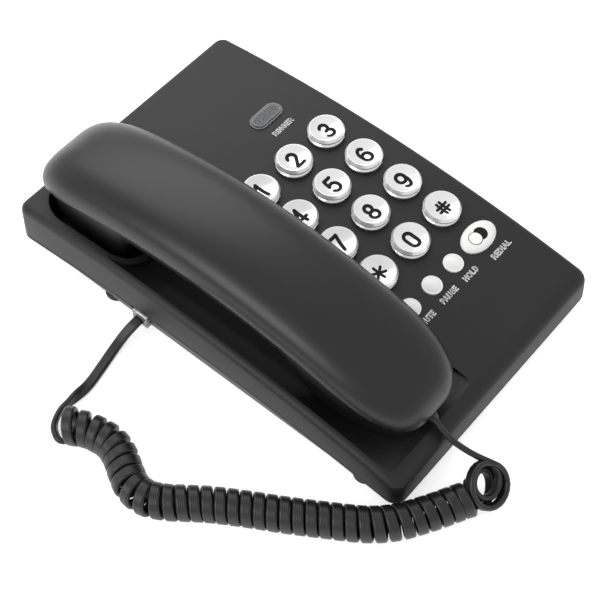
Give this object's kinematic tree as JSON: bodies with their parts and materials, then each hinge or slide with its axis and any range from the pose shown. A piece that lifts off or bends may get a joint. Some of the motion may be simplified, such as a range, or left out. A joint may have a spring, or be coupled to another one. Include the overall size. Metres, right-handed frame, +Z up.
{
  "type": "corded telephone",
  "caption": "Corded telephone: arched base with domed dial keys and function buttons, bowed handset resting in a cradle, and a curly cord joining the two.",
  "frame": {"origin": "under the middle of the base's footprint, on the desk surface that the feet stand on; the free handset cord is left out", "axes": "+X to the right of the person dialling, +Y to the back of the phone, +Z up; the handset lies along Y on the left"},
  "size_m": [0.1913, 0.2286, 0.0598],
  "materials": {
    "base_black": "fine matt texture",
    "handset_black": "smooth satin",
    "key_chrome": "mirror plated plastic",
    "button_pearl": "pearl silver",
    "clear_lens": "clear moulded plastic",
    "clear_plug": "clear moulded plastic",
    "cord_black": "satin flexible jacket",
    "foot_rubber": "matt",
    "mat_rubber": "matt",
    "board_green": "circuit board",
    "lamp_cream": "diffused",
    "part_black": "moulded",
    "plunger_grey": "moulded",
    "switch_silver": "moulded",
    "capsule": "pressed",
    "steel": "plated"
  },
  "bodies": {
    "base": {"top_cover": "base_black", "bottom_cover": "base_black", "base_feet": "foot_rubber", "base_screws": "steel", "main_board": "board_green", "keypad_mat": "mat_rubber", "ringer_lens": "clear_lens", "ringer_lamp": "lamp_cream", "buzzer": "part_black", "hook_switch": "part_black", "switch_bodies": "part_black", "base_jack": "part_black", "line_jack": "part_black", "base_plug": "clear_plug", "cord_tail_base": "cord_black", "cord_coil": "cord_black", "cord_tail_handset": "cord_black"},
    "handset": {"handset_outer": "handset_black", "handset_inner": "handset_black", "receiver": "capsule", "receiver_ring": "mat_rubber", "microphone": "capsule", "mic_boot": "mat_rubber", "handset_weight": "steel", "handset_screws": "steel", "handset_jack": "part_black", "handset_plug": "clear_plug"},
    "key_1": {"key_1": "key_chrome"},
    "key_2": {"key_2": "key_chrome"},
    "key_3": {"key_3": "key_chrome"},
    "key_4": {"key_4": "key_chrome"},
    "key_5": {"key_5": "key_chrome"},
    "key_6": {"key_6": "key_chrome"},
    "key_7": {"key_7": "key_chrome"},
    "key_8": {"key_8": "key_chrome"},
    "key_9": {"key_9": "key_chrome"},
    "key_star": {"key_star": "key_chrome"},
    "key_0": {"key_0": "key_chrome"},
    "key_hash": {"key_hash": "key_chrome"},
    "mute_button": {"mute_button": "button_pearl"},
    "pause_button": {"pause_button": "button_pearl"},
    "hold_button": {"hold_button": "button_pearl"},
    "redial_button": {"redial_button": "button_pearl"},
    "hook_plunger": {"hook_plunger": "plunger_grey"},
    "ringer_switch": {"ringer_switch": "switch_silver"},
    "dial_mode_switch": {"dial_mode_switch": "switch_silver"}
  },
  "joints": [
    {"name": "handset_lift", "type": "slide", "parent": "base", "child": "handset", "axis": [0, 0, 1], "range_m": [0, 0.06]},
    {"name": "hook_plunger_rise", "type": "slide", "parent": "base", "child": "hook_plunger", "axis": [0, 0, 1], "range_m": [0, 0.004]},
    {"name": "key_1_press", "type": "slide", "parent": "base", "child": "key_1", "axis": [0, -0.0038, -1], "range_m": [0, 0.0013], "stiffness_N_per_m": 300, "springref_m": -0.001},
    {"name": "key_2_press", "type": "slide", "parent": "base", "child": "key_2", "axis": [0, -0.0038, -1], "range_m": [0, 0.0013], "stiffness_N_per_m": 300, "springref_m": -0.001},
    {"name": "key_3_press", "type": "slide", "parent": "base", "child": "key_3", "axis": [0, -0.0038, -1], "range_m": [0, 0.0013], "stiffness_N_per_m": 300, "springref_m": -0.001},
    {"name": "key_4_press", "type": "slide", "parent": "base", "child": "key_4", "axis": [0, 0.0266, -0.9996], "range_m": [0, 0.0013], "stiffness_N_per_m": 300, "springref_m": -0.001},
    {"name": "key_5_press", "type": "slide", "parent": "base", "child": "key_5", "axis": [0, 0.0266, -0.9996], "range_m": [0, 0.0013], "stiffness_N_per_m": 300, "springref_m": -0.001},
    {"name": "key_6_press", "type": "slide", "parent": "base", "child": "key_6", "axis": [0, 0.0266, -0.9996], "range_m": [0, 0.0013], "stiffness_N_per_m": 300, "springref_m": -0.001},
    {"name": "key_7_press", "type": "slide", "parent": "base", "child": "key_7", "axis": [0, 0.057, -0.9984], "range_m": [0, 0.0013], "stiffness_N_per_m": 300, "springref_m": -0.001},
    {"name": "key_8_press", "type": "slide", "parent": "base", "child": "key_8", "axis": [0, 0.057, -0.9984], "range_m": [0, 0.0013], "stiffness_N_per_m": 300, "springref_m": -0.001},
    {"name": "key_9_press", "type": "slide", "parent": "base", "child": "key_9", "axis": [0, 0.057, -0.9984], "range_m": [0, 0.0013], "stiffness_N_per_m": 300, "springref_m": -0.001},
    {"name": "key_star_press", "type": "slide", "parent": "base", "child": "key_star", "axis": [0, 0.0873, -0.9962], "range_m": [0, 0.0013], "stiffness_N_per_m": 300, "springref_m": -0.001},
    {"name": "key_0_press", "type": "slide", "parent": "base", "child": "key_0", "axis": [0, 0.0873, -0.9962], "range_m": [0, 0.0013], "stiffness_N_per_m": 300, "springref_m": -0.001},
    {"name": "key_hash_press", "type": "slide", "parent": "base", "child": "key_hash", "axis": [0, 0.0873, -0.9962], "range_m": [0, 0.0013], "stiffness_N_per_m": 300, "springref_m": -0.001},
    {"name": "mute_button_press", "type": "slide", "parent": "base", "child": "mute_button", "axis": [0, 0.1154, -0.9933], "range_m": [0, 0.0013], "stiffness_N_per_m": 250, "springref_m": -0.001},
    {"name": "pause_button_press", "type": "slide", "parent": "base", "child": "pause_button", "axis": [0, 0.1154, -0.9933], "range_m": [0, 0.0013], "stiffness_N_per_m": 250, "springref_m": -0.001},
    {"name": "hold_button_press", "type": "slide", "parent": "base", "child": "hold_button", "axis": [0, 0.1154, -0.9933], "range_m": [0, 0.0013], "stiffness_N_per_m": 250, "springref_m": -0.001},
    {"name": "redial_button_press", "type": "slide", "parent": "base", "child": "redial_button", "axis": [0, 0.1154, -0.9933], "range_m": [0, 0.0013], "stiffness_N_per_m": 250, "springref_m": -0.001},
    {"name": "ringer_switch_slide", "type": "slide", "parent": "base", "child": "ringer_switch", "axis": [1, 0, 0], "range_m": [-0.0025, 0.0025]},
    {"name": "dial_mode_switch_slide", "type": "slide", "parent": "base", "child": "dial_mode_switch", "axis": [1, 0, 0], "range_m": [0, 0.005]}
  ],
  "couplings": [
    {"joint": "hook_plunger_rise", "follows": "handset_lift", "ratio": 0.0666}
  ]
}
